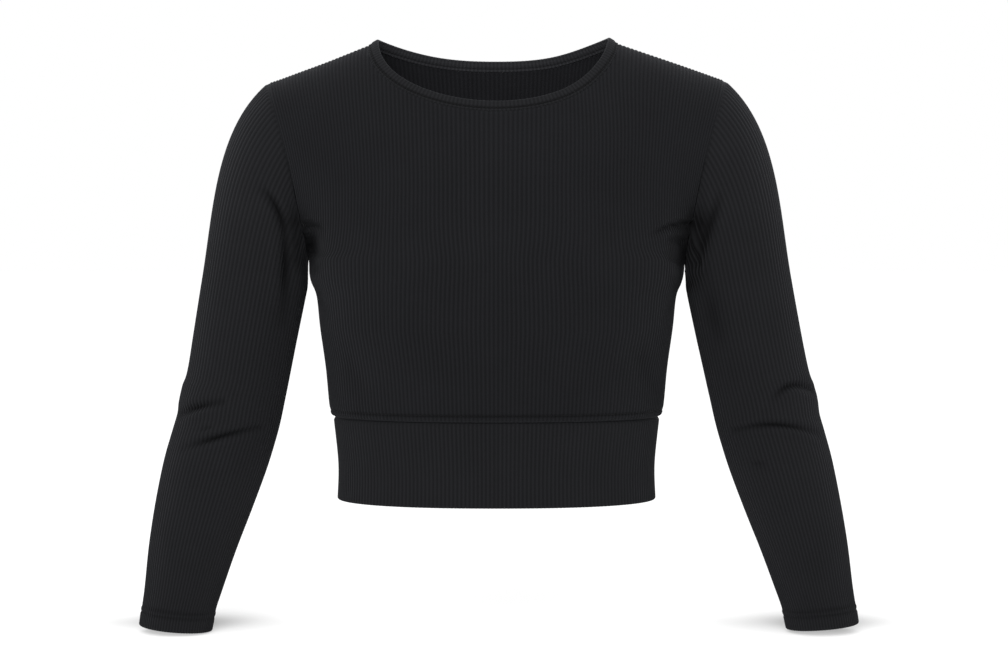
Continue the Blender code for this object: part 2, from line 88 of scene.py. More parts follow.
# Body, from the waist seam up: the side seam to row 6, then the armhole's edge to row 9
SIDE_SEAM_Y = 3.0
UNDERARMS = ((-163.5, 3.0, -170.0), (163.5, 3.0, -179.0))
UNDERARM_ROW = 6
BODY_TOP_ROW = 9
PANEL_ROWS = 14
RIB_ROWS = (3, 4, 5, 5.5, 6, 6.25, 6.5, 6.75, 7, 7.5, 8, 8.5, 9)  # where the ribs' course is worked out
RIB_STRAIGHTNESS = 0.85  # at 1 the rib that ends at the neck's end would run straight up
BODY_NAMES = "edge_x edge_z front_edge back_edge centre_z front back fullness"
BODY_TABLE = (
    (141.8, -304.4, 3.0, 3.0, -304.4, -98.0, 91.0, 2.30),  # waist seam
    (144.6, -296.0, 3.0, 3.0, -296.0, -101.5, 92.5, 2.30),  # fullness over the seam
    (147.8, -262.0, 3.0, 3.0, -262.0, -106.0, 93.0, 2.30),
    (152.4, -228.0, 3.0, 3.0, -228.0, -114.0, 97.0, 2.35),
    (155.4, -200.0, 3.0, 3.0, -200.0, -121.5, 103.0, 2.40),  # fullest at the front
    (160.6, -186.0, 3.0, 3.0, -184.0, -122.0, 106.0, 2.40),
    (163.5, -170.0, 3.0, 3.0, -168.0, -120.0, 107.5, 2.40),  # underarm
    (163.8, -162.7, -22.0, 29.0, -150.0, -116.0, 107.0, 2.40),
    (165.7, -142.1, -42.5, 51.0, -130.0, -110.5, 105.0, 2.40),
    (170.4, -112.2, -55.0, 63.0, -106.0, -103.5, 101.0, 2.40),
)
BODY_SPLIT = (8, 7, 7, 6, 5, 6, 6, 8, 8, 6, 6, 6, 6, 6)  # mesh rows in each of its rows, up to the neckline
NECK_END_REACH = 0.6  # ribs beside each neck end with extra mesh columns
NECK_END_COLUMNS = 7

# Waistband
BAND_NAMES = "half_width z front back fullness"
BAND_TABLE = (
    (141.3, -304.5, -97.5, 90.5, 2.30),  # waist seam
    (137.2, -345.0, -93.0, 86.0, 2.30),  # narrowest
    (138.0, -376.0, -92.5, 85.5, 2.30),  # hem
)
BAND_SPLIT = (8, 8)
BAND_END_LEVELS = (0.006, 0.016, 0.03, 0.05, 0.09)

# Sleeves, from the end of the cap to the wrist
CAP_ROWS = 5
CAP_CROWD = 1.25  # how much the cap's rows crowd towards the armhole
CAP_START = {  # the way that the cloth leaves the armhole: out, to its own side, and up
    "top": (0.77, 0.0, -0.64),
    "side": (0.50, 0.25, -0.83),
    "under": (0.25, 0.0, -0.97),
}
SLEEVE_NAMES = "inner_x inner_z outer_x outer_z half_depth mid_y"
SLEEVE_TABLE = (
    (165.8, -196.0, 255.0, -182.0, 47.5, 3.0),
    (181.8, -272.0, 268.6, -259.0, 44.8, 4.5),
    (185.5, -289.0, 274.6, -278.0, 44.5, 5.0),
    (188.0, -301.0, 277.6, -291.0, 44.5, 4.5),  # outermost at the elbow
    (190.5, -312.0, 279.2, -303.0, 44.5, 4.0),
    (194.6, -327.0, 283.2, -317.0, 44.5, 3.0),
    (202.4, -352.0, 290.2, -343.0, 44.0, 0.0),
    (215.0, -386.0, 297.2, -379.0, 40.8, -4.5),
    (228.6, -421.0, 302.6, -415.0, 36.8, -9.0),
    (240.6, -455.0, 306.4, -451.0, 32.5, -12.0),
    (246.2, -472.0, 308.6, -468.0, 30.5, -14.0),  # stitching of the hem
    (250.3, -490.3, 310.8, -484.6, 29.5, -15.0),  # wrist edge
)
SLEEVE_SPLIT = (5, 5, 6, 6, 6, 14, 7, 7, 8, 11, 8, 7, 6, 6, 5, 12)
FOREARM_SWING = 2.2  # how far towards +X both wrists hang
ELBOW_Z = -240.0
SLEEVE_HEM = 17.0
HEM_STEP = 1.5  # length over which the hem thickens
HEM_RISE = 0.7

# Neck binding
BINDING_WIDTH = 10.0
BINDING_PROUD = 0.5
BINDING_LEAN = {"front": 0.58, "back": 0.5}  # how much it leans in at the middle of the front and the back
BINDING_LEAN_IN = 1.4  # and at the neck's ends
BINDING_EASE = 2.6  # how much more the strip's upper edge is rounded than its seam, at the neck's ends
BINDING_RIBS = 170
BINDING_RIB_HEIGHT = 0.22
BINDING_SWELL = 0.3
BINDING_ROWS = (0.1, 0.3, 0.7, 1.2, 1.9, 2.3, 2.6, 2.9, 3.3, 4.0, 5.0, 6.2, 7.4, 8.4, 9.2, 9.7, 10.0)
EASE_REACH = 3  # how many times its reach a corner's easing runs on

# Stitching: how far each line lies from its piece's nearest end
BINDING_STITCH = 2.6
BINDING_ROLL = 8.4  # a second line, behind the binding only
WAIST_STITCH = 7.3
CUFF_STITCHES = (12.3, 16.9)
CUFF_LINE = 0.65  # how strongly they draw the cloth in, beside the other lines
GROOVE_DEPTH = 0.7
GROOVE_WIDTH = 1.1
GROOVE_PAINTED_SHADE = 0.8  # painted shade along a line of stitching, from 0 to a deep fold's 1
STITCH_PITCH = 3.4
STITCH_SHARE = 0.78  # how much of its pitch a stitch fills
STITCH_LIFT = 0.15
THREAD_RADIUS = 0.2
THREAD_DIP = 0.35  # how far both ends of a stitch dip
THREAD_SIDES = 6

# Folds, seen from the front: x and z of a curve's start, middle and end, its half width, and its depth at
# the start, the middle and the end
CURVE_STEPS = 12
FOLD_FREE = 12.0  # how far from an armhole seam the sleeve's folds reach their depth
FOLD_FACING = 0.5  # how squarely the cloth faces front or back where they do
FOLD_RIDGE = 0.25  # height of the ridges beside a fold, as a share of its depth
FOLD_RIDGE_AT = 2.1  # and how many half widths from its middle they lie
FOLD_SHADE = 4.5  # a fold this deep has the deepest painted shade
BODY_FOLDS = (
    (-163.0, -140.0, -154.0, -140.5, -143.0, -143.0, 2.6, 3.4, 3.2, 0.0),  # from each armpit towards the bust
    (165.0, -139.5, 146.0, -141.5, 122.0, -152.0, 3.0, 4.0, 3.0, 0.0),
    (158.0, -154.0, 150.0, -152.0, 140.0, -154.0, 2.8, 3.0, 1.6, 0.0),
    (-158.0, -184.0, -152.0, -202.0, -141.0, -224.0, 5.0, 0.0, 1.8, 0.0),  # down each side under the armpit
    (158.0, -190.0, 151.0, -206.0, 140.0, -228.0, 5.0, 0.0, 1.8, 0.0),
    (-138.0, -226.0, -122.0, -262.0, -112.0, -294.0, 9.0, 0.0, 1.0, 0.4),  # towards the waist
    (114.0, -234.0, 126.0, -260.0, 134.0, -290.0, 8.0, 0.0, 1.2, 0.4),
)
RIGHT_SLEEVE_FOLDS = (
    (-205.0, -104.0, -184.0, -128.0, -179.0, -170.0, 3.4, 0.0, 4.4, 0.0),  # beside the armpit
    (-181.0, -142.0, -179.5, -173.0, -183.0, -222.0, 4.4, 0.0, 4.4, 1.0),
    (-273.0, -301.5, -257.0, -295.0, -234.0, -290.0, 3.5, 2.0, 4.2, 1.4),  # above the elbow
    (-268.0, -330.0, -237.5, -320.0, -204.0, -312.5, 2.9, 0.8, 4.2, 1.6),  # below the elbow
    (-256.0, -317.0, -247.0, -313.0, -236.0, -312.0, 2.2, 0.0, 1.2, 0.0),
)
LEFT_SLEEVE_FOLDS = (
    (191.0, -106.0, 183.0, -134.0, 173.0, -172.0, 4.0, 0.0, 2.6, 3.0),
    (180.0, -184.0, 186.0, -216.0, 195.0, -252.0, 6.0, 0.0, 1.8, 0.0),
    (233.0, -294.0, 250.0, -277.0, 274.0, -281.0, 3.4, 0.0, 3.6, 3.0),
    (206.0, -314.5, 240.0, -309.5, 277.0, -318.5, 2.8, 1.4, 4.0, 1.2),
    (214.0, -341.0, 224.0, -343.0, 236.0, -343.0, 3.0, 0.0, 1.4, 0.0),
)

# The pockets beside the armpits, in the same columns
TUCK_MOST = 0.85  # how much of the way to the side seam a tuck may go
TUCK_SHADE = 7.0  # a tuck this deep has the deepest painted shade
TUCKS = (
    (-158.0, -167.0, -157.5, -153.0, -167.0, -137.0, 10.0, 24.0, 36.0, 6.0),
    (161.0, -181.0, 161.0, -161.0, 168.5, -137.0, 11.0, 28.0, 36.0, 9.0),
)

# Where the cloth lies a little off its cut: x and z of the place, its reach, and how far it moves in x and z
LIES = (
    (103.0, -5.0, 45.0, -7.0, 1.2),  # the left end of the neck
    (-155.0, 0.0, 40.0, 0.0, -2.2),  # the right shoulder
    (-193.0, -14.0, 22.0, 0.0, -1.5),  # and its point
    (163.5, -170.0, 16.0, 0.0, -9.0),  # the left underarm
)
SLEEVE_LIES = (
    (250.0, -285.0, 75.0, 1.7, 0.0),  # the left elbow
    (280.0, -490.0, 60.0, 0.0, 2.2),  # the left wrist
    (-262.0, -285.0, 55.0, 1.0, 0.0),  # the right elbow
)

# Studio
LENS = 85.0
SENSOR = 36.0
CAMERA = (6.5, -2070.0, -163.0)
TARGET = (6.5, 0.0, -235.0)
FARTHEST_VIEW = 200000.0
FLOOR_Z = -491.2
FLOOR_REACH = 40000.0
FRONT_LAMP = ((-500, -3800, 1450), (0, 0, -200), (3000, 2000), 200.0)  # place, target, size and watts

# Colours
WHITE = (1.0, 1.0, 1.0)
BODY_KNIT = (0.0051, 0.0052, 0.0059)
# painted light: the sleeves', band's and binding's knit is the body's own, coloured lighter for the light
# they catch
SLEEVE_KNIT_PAINTED_LIGHTER = (0.0062, 0.0063, 0.0070)
BAND_KNIT_PAINTED_LIGHTER = (0.0058, 0.0059, 0.0066)
BINDING_KNIT_PAINTED_LIGHTER = (0.0067, 0.0068, 0.0075)
KNIT_SHADES = (0.55, 1.45)  # of its colour, where it is deepest and where it is lightest
INSIDE_PAINTED_LIGHT = {"cloth": 1.7, "binding": 2.3}  # painted light: how much lighter the inside faces are coloured, for the light that reaches them
FOLD_PAINTED_SHADE = 0.17  # painted shade: how dark the colour is made deep in a fold or tuck, as a share of the knit's
THREAD_BLACK = (0.0042, 0.0042, 0.0046)
THREAD_SHADES = (0.7, 1.5)
PALE_FLOOR = (0.5, 0.5, 0.5)
FLOOR_SHADES = (0.995, 1.0)
FLOOR_GLOW = 0.57
PAINTED_SHADOW_SPOTS = ((-278.0, 40.0), (283.0, 40.0))  # painted shadow: x and y of the floor behind each cuff
PAINTED_SHADOW_REACH = (72.0, 46.0)
PAINTED_SHADOW_DEPTH = 0.9  # how much of the floor's glow the painted shadow takes away

# The knit's small forms
STITCH_ROW = 1.15
STITCH_SLANT = 1.1  # how steeply a looped stitch's sides run, in rows to its width
LIGHT = {"crest": 0.5, "loops": 0.15, "patches": 0.4, "fluff": 0.3}  # what lightens its colour, and by how much; crest is painted light on the rib crests that leaves painted shade in the valleys, the rest is the knit's own pattern and tone
LIGHT_START = -0.17
ROUGHNESS = {"knit": 0.78, "patches": 0.12, "fluff": 0.08, "thread": 0.5, "twist": 0.2}
LOOP_RISE = (0.4, 0.6)  # height of a looped stitch in a valley, and how much more it has on a crest
FLUFF_RISE = 0.8
GRAINS = {"patches": 24.0, "fluff": 620.0, "twist": 1400.0, "floor": 40.0}  # to a metre
MIX_INPUTS = (0, 6, 7)  # a colour mix's factor and two colours, by their places among its sockets
MIX_RESULT = 2


def columns(names, rows):
    """A table's columns by name."""
    return dict(zip(names.split(), np.array(rows, float).T))


BODY = columns(BODY_NAMES, BODY_TABLE)
BAND = columns(BAND_NAMES, BAND_TABLE)
SLEEVE = columns(SLEEVE_NAMES, SLEEVE_TABLE)


def unit(vectors):
    """Vectors scaled to length 1 along the last axis."""
    return vectors / np.maximum(np.linalg.norm(vectors, axis=-1, keepdims=True), NEAR)


def smooth(x):
    """Rises smoothly from 0 at 0 to 1 at 1."""
    x = np.clip(x, 0, 1)
    return x * x * (3 - 2 * x)


def bridge(start, start_slope, end, end_slope, t):
    """A smooth curve from start to end with a given direction at each end."""
    return (
        start * (2 * t**3 - 3 * t**2 + 1)
        + start_slope * (t**3 - 2 * t**2 + t)
        + end * (3 * t**2 - 2 * t**3)
        + end_slope * (t**3 - t**2)
    )


def table_row(table, level):
    """Every column of a table at a fractional row, on a smooth curve through its rows."""
    last = len(next(iter(table.values()))) - 1
    row = int(np.clip(np.floor(level), 0, last - 1))
    near_rows = np.clip([row - 1, row, row + 1, row + 2], 0, last)
    found = {}
    for name, values in table.items():
        before, here, after, beyond = values[near_rows]
        found[name] = bridge(here, (after - before) / 2, after, (beyond - here) / 2, level - row)
    return found


def path_length(points):
    """Distance along a path to each of its points."""
    return np.concatenate([[0], np.cumsum(np.linalg.norm(np.diff(points, axis=0), axis=1))])


def beside_curve(place, row):
    """Each place's distance to a fold's curve, in half widths of the fold, and the fold's depth beside it."""
    *corners, half_width, start_depth, mid_depth, end_depth = row
    start, mid, end = np.reshape(corners, (3, 2))
    t = np.linspace(0, 1, CURVE_STEPS + 1)[:, None]
    curve = start * (1 - t) ** 2 + (4 * mid - start - end) * t * (1 - t) + end * t**2
    distance, share = np.full(place.shape[:-1], np.inf), np.zeros(place.shape[:-1])
    for i in range(CURVE_STEPS):
        a, step = curve[i], curve[i + 1] - curve[i]
        along = np.clip((place - a) @ step / (step @ step), 0, 1)
        here = np.linalg.norm(place - a - along[..., None] * step, axis=-1)
        share = np.where(here < distance, (i + along) / CURVE_STEPS, share)
        distance = np.minimum(distance, here)
    early = start_depth + (mid_depth - start_depth) * smooth(2 * share)
    late = mid_depth + (end_depth - mid_depth) * smooth(2 * share - 1)
    return distance / half_width, np.where(share < 0.5, early, late)


def half_section(edge, centre, fullness, fractions):
    """Half of a section, equally spaced round its curve from the centre line (0) to its edge (1)."""
    edge_x, edge_y, edge_z = edge
    centre_y, centre_z = centre
    reach = SIDE_SEAM_Y - centre_y
    edge_angle = np.arccos(np.clip((SIDE_SEAM_Y - edge_y) / reach, 0, 1) ** (fullness / 2))
    width = edge_x / np.sin(edge_angle) ** (2 / fullness)
    angle = np.linspace(0, 1, SAMPLES) * edge_angle
    x = width * np.sin(angle) ** (2 / fullness)
    y = SIDE_SEAM_Y - reach * np.cos(angle) ** (2 / fullness)
    z = centre_z + (edge_z - centre_z) * (x / edge_x) ** 2
    curve = np.column_stack([x, y, z])
    length = path_length(curve)
    return np.column_stack([np.interp(fractions * length[-1], length, c) for c in curve.T])


def body_section(side, level, fractions):
    """The front's or back's half section at a row of the body table, from the centre line to its edge."""
    row = table_row(BODY, level)
    edge = (row["edge_x"], row[side + "_edge"], row["edge_z"])
    centre = (row[side], row["centre_z"])
    return half_section(edge, centre, row["fullness"], fractions)


def straightened(side):
    """At each of RIB_ROWS, how much farther apart than their mean the ribs are on the centre line."""
    even = np.linspace(0, 1, SAMPLES)
    x = np.interp(NECK_FRACTION, even, body_section(side, RIB_ROWS[0], even)[:, 0])
    share = np.array([np.interp(x, body_section(side, row, even)[:, 0], even) for row in RIB_ROWS])
    return RIB_STRAIGHTNESS * (share - NECK_FRACTION) / (NECK_FRACTION - NECK_FRACTION**2)


RIBS_APART = {side: straightened(side) for side in ("front", "back")}


def opened(side, fractions, level):
    """Columns of a half panel, set apart so that its ribs run nearly straight up past the armpits."""
    apart = np.interp(level, RIB_ROWS, RIBS_APART[side])
    return fractions * (1 + apart) - apart * fractions**2


def ridge(fractions):
    """The shoulder line from the centre line, over the cut-out neck, to the shoulder point."""
    bend = (NECK_HALF - SHOULDER_HALF * NECK_FRACTION) / (NECK_FRACTION - NECK_FRACTION**2)
    x = (SHOULDER_HALF + bend) * fractions - bend * fractions**2
    slope = (SHOULDER_Z - NECK_TOP) / (SHOULDER_HALF - NECK_HALF)
    over_neck = bridge(RIDGE_TOP, 0, NECK_TOP, slope * NECK_HALF, x / NECK_HALF)
    z = np.where(x < NECK_HALF, over_neck, NECK_TOP + slope * (x - NECK_HALF))
    return np.column_stack([x, np.zeros(len(x)), z])


class Yoke:
    """Above the body's rows each column rises from t = 0, leans over and meets the ridge at t = 1."""

    def __init__(self, side, fractions):
        towards = -1 if side == "front" else 1
        self.base = body_section(side, BODY_TOP_ROW, opened(side, fractions, BODY_TOP_ROW))
        below = BODY_TOP_ROW - END_STEP
        rise = unit(self.base - body_section(side, below, opened(side, fractions, below)))
        self.end = ridge(fractions)
        inner = 1 - np.minimum(self.end[:, :1] / NECK_HALF, 1)
        flat = (1 - inner**2) ** 2
        lean, up = NECK_LEAN[side]
        arrive = unit((1 - flat) * [0, -towards * lean, up] + flat * [0, -towards, RIDGE_RISE])
        arrive[:, 0] = -RIDGE_TUCK * np.sin(np.pi * self.end[:, 0] / SHOULDER_HALF)
        out = smooth((self.end[:, :1] - ROUND_FROM) / (SHOULDER_HALF - ROUND_FROM))
        fullness = RIDGE_ROUND[0] + (RIDGE_ROUND[1] - RIDGE_ROUND[0]) * out
        length = np.linalg.norm(self.end - self.base, axis=1)[:, None] * fullness
        self.rise, self.arrive = rise * length, arrive * length
        self.cut = np.ones(len(fractions))
        steps = np.linspace(0, 1, SAMPLES)[:, None]
        bend, power = NECK_CURVE[side]
        for i in np.flatnonzero(fractions < NECK_FRACTION - NEAR):
            column = bridge(self.base[i], self.rise[i], self.end[i], self.arrive[i], steps)
            drop = NECK_DROP[side] * np.maximum(1 - np.abs(column[:, 0] / NECK_HALF) ** bend, 0) ** power
            above = column[:, 2] - (NECK_TOP - drop)
            first = np.argmax(above > 0)
            self.cut[i] = np.interp(0, above[first - 1 : first + 1], steps[first - 1 : first + 1, 0])

    def row(self, up):
        """Points at a share of the way up to the neckline and the shoulder seam."""
        t = (self.cut * up)[:, None]
        return bridge(self.base, self.rise, self.end, self.arrive, t)


def split_levels(splits, ends=()):
    """Levels that divide each of a table's rows, crowded at both ends for the turn of the cloth."""
    levels = np.concatenate([i + np.arange(n) / n for i, n in enumerate(splits)])
    top = len(splits)
    return np.unique(np.concatenate([levels, [top], [top - e for e in ends], list(ends)]))


def panel_form(side, levels, fractions):
    """Points of a panel: a row for each level, from its right edge (-1) to its left (1)."""
    half = fractions[fractions >= -NEAR]
    yoke = Yoke(side, half)
    rows = []
    for level in levels:
        if level <= BODY_TOP_ROW:
            row = body_section(side, level, opened(side, half, level))
        else:
            row = yoke.row((level - BODY_TOP_ROW) / (PANEL_ROWS - BODY_TOP_ROW))
        rows.append(np.concatenate([row[:0:-1] * MIRROR, row]))
    return np.array(rows)


EDGES = {"bottom": (0, 0), "top": (0, -1), "right": (1, 0), "left": (1, -1)}  # axis and end of each edge


class Cloth:
    """A piece's form in rows and columns of points, with the direction square to the cloth at each."""

    def __init__(self, grid, levels, ribs, wraps):
        self.grid, self.levels, self.ribs, self.wraps = grid, levels, ribs, wraps
        # folded also sets how much painted shade the colour gets
        self.folded = np.zeros(grid.shape[:2])  # from 0 on open cloth to 1 deep in a fold
        self.square()

    def square(self):
        """Works out the directions square to the cloth, facing out."""
        if self.wraps:
            across = np.roll(self.grid, -1, axis=1) - np.roll(self.grid, 1, axis=1)
            middle = self.grid.mean(axis=1, keepdims=True)
        else:
            across = np.gradient(self.grid, axis=1)
            middle = BODY_MIDDLE
        normals = unit(np.cross(across, np.gradient(self.grid, axis=0)))
        self.normals = normals * np.sign(np.sum(normals * (self.grid - middle)))

    def distance(self, edge):
        """Distance over the cloth from each point to an edge."""
        axis, end = EDGES[edge]
        points = np.moveaxis(self.grid, axis, 0)
        step = np.linalg.norm(np.diff(points, axis=0), axis=2)
        run = np.concatenate([np.zeros((1, points.shape[1])), np.cumsum(step, axis=0)])
        return np.moveaxis(np.abs(run - run[end]), 0, axis)

    def fold(self, rows, facing, free=1.0):
        """Presses in soft troughs, with low ridges beside them, where the cloth faces front or back."""
        depth = np.zeros(self.grid.shape[:2])
        for row in rows:
            distance, size = beside_curve(self.grid[..., [0, 2]], row)
            ridges = FOLD_RIDGE * np.exp(-((distance - FOLD_RIDGE_AT) ** 2))
            depth += size * (np.exp(-(distance**2)) - ridges)
        depth *= smooth(facing * self.normals[..., 1] / FOLD_FACING) * free
        self.grid = self.grid - self.normals * depth[..., None]
        # painted shade: the colour darkens with the fold's depth
        self.folded = np.clip(self.folded + np.maximum(depth, 0) / FOLD_SHADE, 0, 1)

    def tuck(self, rows):
        """Draws the cloth in beside each armpit, from the front and from the back, towards the side seam."""
        depth = np.zeros(self.grid.shape[:2])
        for row in rows:
            distance, size = beside_curve(self.grid[..., [0, 2]], row)
            depth += size * np.exp(-(distance**2))
        off = self.grid[..., 1] - SIDE_SEAM_Y
        most = np.abs(off) * TUCK_MOST
        self.grid[..., 1] -= np.sign(off) * most * np.tanh(depth / np.maximum(most, NEAR))
        # painted shade: the colour darkens with the tuck's depth
        self.folded = np.clip(self.folded + depth / TUCK_SHADE, 0, 1)

    def lie(self, rows):
        """Moves the cloth softly where it doesn't lie as evenly as it was cut."""
        for x, z, reach, across, up in rows:
            off = (self.grid[..., [0, 2]] - [x, z]) / reach
            self.grid = self.grid + np.exp(-np.sum(off**2, axis=-1))[..., None] * [across, 0, up]

    def settle(self, edge, directions, shift):
        """Near an edge, turns the wall to a shared direction and moves the cloth off its neighbour."""
        axis, end = EDGES[edge]
        near = edge_turn(self.distance(edge))[..., None]
        own = np.take(self.normals, [end], axis=axis)
        self.normals = unit(self.normals + near * (np.expand_dims(directions, axis) - own))
        self.grid = self.grid + near * np.expand_dims(shift, axis)

    def row_at(self, edge, distance):
        """Points and directions along a line at a distance from the bottom or top edge."""
        run = self.distance(edge)
        order = np.argsort(run[:, 0])
        both = np.concatenate([self.grid, self.normals], axis=-1)[order]
        line = [[np.interp(distance, run[order, c], v) for v in both[:, c].T] for c in range(both.shape[1])]
        return np.array(line)[:, :3], unit(np.array(line)[:, 3:])


def joined(own, other):
    """Wall direction at a seam: shared where the pieces meet edge to edge, each one's own in a tight fold."""
    agree = np.maximum(np.sum(own * other, axis=-1, keepdims=True), 0)
    return unit(own + agree * other)


def rib_wave(ribs):
    """Height of the ribs, from 0 in a valley to 1 on a crest, at a place counted in ribs."""
    return (0.5 + 0.5 * np.cos(2 * np.pi * ribs)) ** RIB_POWER


def near_underarm(grid):
    """From 0 beside an underarm to 1 away from it."""
    away = np.minimum.reduce([np.linalg.norm(grid - place, axis=-1) for place in UNDERARMS])
    return np.clip((away - RIB_FADE[0]) / (RIB_FADE[1] - RIB_FADE[0]), 0, 1)


def edge_turn(distance):
    """How far the cloth turns in, from 1 at a seam to 0 away from it."""
    return np.exp(-((distance / SEAM_REACH) ** 2))


def groove(distance, *places):
    """How far a line of stitching pulls the cloth in, from 1 on the line to 0 away from it."""
    return sum(np.exp(-(((distance - place) / GROOVE_WIDTH) ** 2)) for place in places)


def rounded(distance, radius):
    """How far a face draws in towards a rounded edge, by its distance from it."""
    short = np.clip(radius - distance, 0, radius)
    return radius - np.sqrt(radius**2 - short**2)


def grid_faces(first, rows, count, wraps):
    """Faces of a grid of vertices numbered row by row from first."""
    r, c = np.meshgrid(np.arange(rows - 1), np.arange(count if wraps else count - 1), indexing="ij")
    a = first + r * count + c
    b = first + r * count + (c + 1) % count
    return np.stack([a, b, b + count, a + count], axis=-1).reshape(-1, 4)


def build_mesh(name, points, faces, layers, material):
    """An object from points in millimetres, faces of any size and layers of two values for each point."""
    mesh = bpy.data.meshes.new(name)
    mesh.from_pydata((points * MM).tolist(), [], faces)
    corner = np.zeros(len(mesh.loops), np.int32)
    mesh.loops.foreach_get("vertex_index", corner)
    for layer, values in layers.items():
        uv = mesh.uv_layers.new(name=layer)
        uv.data.foreach_set("uv", values[corner].astype(np.float32).ravel())
    mesh.polygons.foreach_set("use_smooth", [True] * len(mesh.polygons))
    mesh.materials.append(material)
    piece = bpy.data.objects.new(name, mesh)
    bpy.context.collection.objects.link(piece)
    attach(piece, "root")
    return piece


def sew(node, cloth, lift, wall, run, line, material):
    """One closed wall from a cloth form, in place of a node's plain solid, with a coarser mesh inside."""
    # painted shade: lines of stitching darken the colour as folds do
    folded = np.clip(cloth.folded + GROOVE_PAINTED_SHADE * line, 0, 1)
    outside = cloth.grid + cloth.normals * lift[..., None]
    inside = cloth.grid - cloth.normals * wall[..., None]
    place = cloth.ribs * INSIDE_RIB
    keep = np.flatnonzero(np.abs(place - np.round(place)) < NEAR)
    rows, count = outside.shape[:2]
    kept = len(keep)
    base = rows * count
    faces = grid_faces(0, rows, count, cloth.wraps).tolist()
    faces += grid_faces(base, rows, kept, cloth.wraps)[:, ::-1].tolist()
    ends = list(keep) + ([count] if cloth.wraps else [])
    for row, flip in ((0, True), (rows - 1, False)):
        for k in range(len(ends) - 1):
            outer = [row * count + c % count for c in range(ends[k], ends[k + 1] + 1)]
            face = outer + [base + row * kept + (k + 1) % kept, base + row * kept + k]
            faces.append(face[::-1] if flip else face)
    if not cloth.wraps:
        r = np.arange(rows - 1)
        for c, k, flip in ((0, 0, False), (count - 1, kept - 1, True)):
            a, b = r * count + c, base + r * kept + k
            side = np.stack([a, a + count, b + kept, b], axis=-1)
            faces += (side[:, ::-1] if flip else side).tolist()
    points = np.concatenate([outside.reshape(-1, 3), inside[:, keep].reshape(-1, 3)])
    place = np.stack(np.broadcast_arrays(cloth.ribs, run), axis=-1)
    # second layer: 1 on the inside faces for their painted light, and the painted shade of folds and
    # stitching outside
    outer = np.stack([np.zeros_like(folded), folded], axis=-1)
    inner = np.tile([1.0, 0.0], (rows * kept, 1))
    layers = {
        "cloth": np.concatenate([place.reshape(-1, 2), place[:, keep].reshape(-1, 2)]),
        "shelter": np.concatenate([outer.reshape(-1, 2), inner]),
    }
    piece = build_mesh(node + "_cloth", points, faces, layers, material)
    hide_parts(node)
    return piece


def panel_cloth(side):
    """The form of the front or the back."""
    ribs = np.arange(-PANEL_RIBS * ACROSS_RIB, PANEL_RIBS * ACROSS_RIB + 1) / ACROSS_RIB
    share = np.linspace(0, 1, NECK_END_COLUMNS + 2)[1:-1]
    by_neck = NECK_FRACTION * PANEL_RIBS - NECK_END_REACH * share**2
    ribs = np.unique(np.concatenate([ribs, by_neck, -by_neck]))
    levels = split_levels(BODY_SPLIT, END_LEVELS)
    cloth = Cloth(panel_form(side, levels, ribs / PANEL_RIBS), levels, ribs, wraps=False)
    cloth.lie(LIES)
    cloth.square()
    cloth.fold(BODY_FOLDS, -1 if side == "front" else 1)
    cloth.square()
    return cloth


def panel(side, cloth, material):
    """The front or the back, turned in at its seams, with the line of stitching over the waist."""
    run = cloth.distance("bottom")
    waist = edge_turn(run)
    turn = edge_turn(np.minimum.reduce([cloth.distance(edge) for edge in ("top", "right", "left")]))
    line = groove(run, WAIST_STITCH)
    rib = rib_wave(cloth.ribs) * near_underarm(cloth.grid) * (1 - np.maximum(turn, waist))
    rib = rib * (1 - RIB_STITCHED * line)
    lift = RIB_HEIGHT * rib - np.maximum(SEAM_DEPTH * turn, WAIST_DEPTH * waist) - GROOVE_DEPTH * line
    return sew(side, cloth, lift, WALL - INSIDE_DIP * rib, run, line, material)


def round_armhole(front, back, turns, levels):
    """Values round an armhole at the sleeve's turns, from those of the panels' edges at their levels."""
    rise = 2 * (PANEL_ROWS - UNDERARM_ROW)
    at_front = [np.interp(UNDERARM_ROW + rise * turns, levels, v) for v in front.T]
    at_back = [np.interp(UNDERARM_ROW + rise * (1 - turns), levels, v) for v in back.T]
    return np.where(turns[:, None] < 0.5, np.transpose(at_front), np.transpose(at_back))


def sleeve_ring(level, turns, hand):
    """One ring of the arm at a row of the sleeve table. Turn 0 is inside the arm and 0.25 is its front."""
    row = table_row(SLEEVE, level)
    inner = np.array([row["inner_x"], row["mid_y"], row["inner_z"]])
    outer = np.array([row["outer_x"], row["mid_y"], row["outer_z"]])
    angle = 2 * np.pi * turns[:, None]
    depth = np.array([0, row["half_depth"], 0])
    ring = (inner + outer) / 2 - np.cos(angle) * (outer - inner) / 2 - np.sin(angle) * depth
    below_elbow = np.clip((ELBOW_Z - ring[:, 2]) / (ELBOW_Z - SLEEVE["inner_z"][-1]), 0, 1)
    ring[:, 0] = hand * ring[:, 0] + FOREARM_SWING * below_elbow
    return ring


def sleeve_form(hand, levels, turns, armhole):
    """Grid of points of a sleeve: cap rows from the armhole, then the arm's rings to the wrist."""
    angle = 2 * np.pi * turns[:, None]
    high = (1 - np.cos(angle)) / 2
    sideways = np.sin(angle)
    top, side, under = (np.array(CAP_START[k]) for k in ("top", "side", "under"))
    leave = under + (top - under) * high + (side * [1, 0, 1] - (top + under) / 2) * np.abs(sideways)
    leave = unit((leave - sideways * side * [0, 1, 0]) * [hand, 1, 1])
    first = sleeve_ring(0, turns, hand)
    arrive = unit(sleeve_ring(END_STEP, turns, hand) - first)
    length = np.linalg.norm(first - armhole, axis=1)[:, None]
    rows = []
    for level in levels:
        if level < CAP_ROWS:
            down = (level / CAP_ROWS) ** CAP_CROWD
            rows.append(bridge(armhole, leave * length, first, arrive * length, down))
        else:
            rows.append(sleeve_ring(level - CAP_ROWS, turns, hand))
    return np.array(rows)


